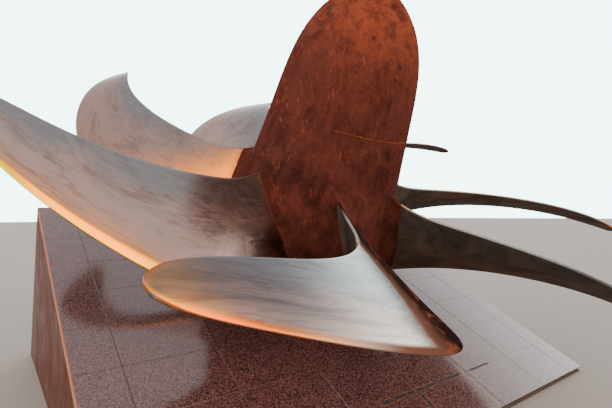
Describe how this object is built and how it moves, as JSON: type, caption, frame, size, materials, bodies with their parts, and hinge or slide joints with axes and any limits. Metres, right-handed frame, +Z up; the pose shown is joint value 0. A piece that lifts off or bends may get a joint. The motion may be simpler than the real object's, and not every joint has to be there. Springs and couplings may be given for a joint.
{
  "type": "ship propeller on a plinth",
  "caption": "Large skewed-blade bronze ship propeller standing cone up on a wedge-shaped polished granite plinth.",
  "frame": {"origin": "middle of the plinth's underside", "axes": "+Z up, +X across the plinth, +Y towards its high rear edge; the propeller's axis leans towards -Y"},
  "size_m": [5.2231, 4.9245, 3.2759],
  "materials": {
    "hub_bronze": "cast bronze, dark red-brown patina",
    "blade_bronze": "ground bronze, weathered bare metal",
    "polished_granite": "polished red granite",
    "red_granite": "honed red granite",
    "concrete": "cast concrete"
  },
  "bodies": {
    "root": {"hub_seat_ring": "hub_bronze", "hub_boss": "hub_bronze", "fairwater_cone": "hub_bronze", "blade_1": "blade_bronze", "blade_2": "blade_bronze", "blade_3": "blade_bronze", "blade_4": "blade_bronze", "blade_5": "blade_bronze", "blade_6": "blade_bronze", "blade_7": "blade_bronze", "plinth_core": "concrete", "top_left_strip": "polished_granite", "top_column_1": "polished_granite", "top_column_2": "polished_granite", "top_column_3": "polished_granite", "top_column_4": "polished_granite", "top_column_5": "polished_granite", "top_column_6": "polished_granite", "top_right_strip": "polished_granite", "rear_left_strip": "polished_granite", "rear_column_1": "polished_granite", "rear_column_2": "polished_granite", "rear_column_3": "polished_granite", "rear_column_4": "polished_granite", "rear_column_5": "polished_granite", "rear_column_6": "polished_granite", "rear_right_strip": "polished_granite", "left_panel_1": "polished_granite", "left_panel_2": "polished_granite", "left_panel_3": "polished_granite", "right_panel_1": "polished_granite", "right_panel_2": "polished_granite", "right_panel_3": "polished_granite", "left_corner_strip": "red_granite", "right_corner_strip": "red_granite"}
  },
  "joints": []
}
